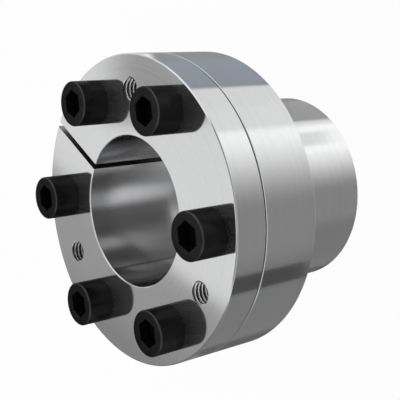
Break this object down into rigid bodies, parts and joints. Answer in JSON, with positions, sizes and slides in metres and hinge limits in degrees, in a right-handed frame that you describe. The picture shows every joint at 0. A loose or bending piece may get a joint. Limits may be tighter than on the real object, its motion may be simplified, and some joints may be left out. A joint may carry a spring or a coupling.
{
  "type": "shaft locking assembly",
  "caption": "Flanged shaft locking assembly: two slit steel rings with matching cones, drawn together by cap screws so that they grip a shaft inside and a hub outside.",
  "frame": {"origin": "on the shaft's axis, at the end face of the barrel, on which the assembly stands", "axes": "+Z along the shaft's axis from the barrel's end to the screw heads; +X through the slits"},
  "size_m": [0.072, 0.072, 0.0584],
  "materials": {
    "turned_steel": "satin",
    "black_steel": "satin"
  },
  "bodies": {
    "outer_ring": {"outer_ring": "turned_steel"},
    "inner_ring": {"inner_ring": "turned_steel"},
    "cap_screw_1": {"cap_screw_1": "black_steel"},
    "cap_screw_2": {"cap_screw_2": "black_steel"},
    "cap_screw_3": {"cap_screw_3": "black_steel"},
    "cap_screw_4": {"cap_screw_4": "black_steel"},
    "cap_screw_5": {"cap_screw_5": "black_steel"},
    "cap_screw_6": {"cap_screw_6": "black_steel"}
  },
  "joints": [
    {"name": "release_slide", "type": "slide", "parent": "outer_ring", "child": "inner_ring", "axis": [0, 0, 1], "range_m": [0, 0.003]},
    {"name": "cap_screw_1_turn", "type": "hinge", "parent": "inner_ring", "child": "cap_screw_1", "pos_m": [0.02425, 0.014, 0.052], "axis": [0, 0, 1], "range_deg": [0, 1080]},
    {"name": "cap_screw_2_turn", "type": "hinge", "parent": "inner_ring", "child": "cap_screw_2", "pos_m": [0, 0.028, 0.052], "axis": [0, 0, 1], "range_deg": [0, 1080]},
    {"name": "cap_screw_3_turn", "type": "hinge", "parent": "inner_ring", "child": "cap_screw_3", "pos_m": [-0.02425, 0.014, 0.052], "axis": [0, 0, 1], "range_deg": [0, 1080]},
    {"name": "cap_screw_4_turn", "type": "hinge", "parent": "inner_ring", "child": "cap_screw_4", "pos_m": [-0.02425, -0.014, 0.052], "axis": [0, 0, 1], "range_deg": [0, 1080]},
    {"name": "cap_screw_5_turn", "type": "hinge", "parent": "inner_ring", "child": "cap_screw_5", "pos_m": [0, -0.028, 0.052], "axis": [0, 0, 1], "range_deg": [0, 1080]},
    {"name": "cap_screw_6_turn", "type": "hinge", "parent": "inner_ring", "child": "cap_screw_6", "pos_m": [0.02425, -0.014, 0.052], "axis": [0, 0, 1], "range_deg": [0, 1080]}
  ],
  "couplings": [
    {"joint": "cap_screw_1_turn", "follows": "release_slide", "rad_per_m": 6283.2},
    {"joint": "cap_screw_2_turn", "follows": "release_slide", "rad_per_m": 6283.2},
    {"joint": "cap_screw_3_turn", "follows": "release_slide", "rad_per_m": 6283.2},
    {"joint": "cap_screw_4_turn", "follows": "release_slide", "rad_per_m": 6283.2},
    {"joint": "cap_screw_5_turn", "follows": "release_slide", "rad_per_m": 6283.2},
    {"joint": "cap_screw_6_turn", "follows": "release_slide", "rad_per_m": 6283.2}
  ]
}
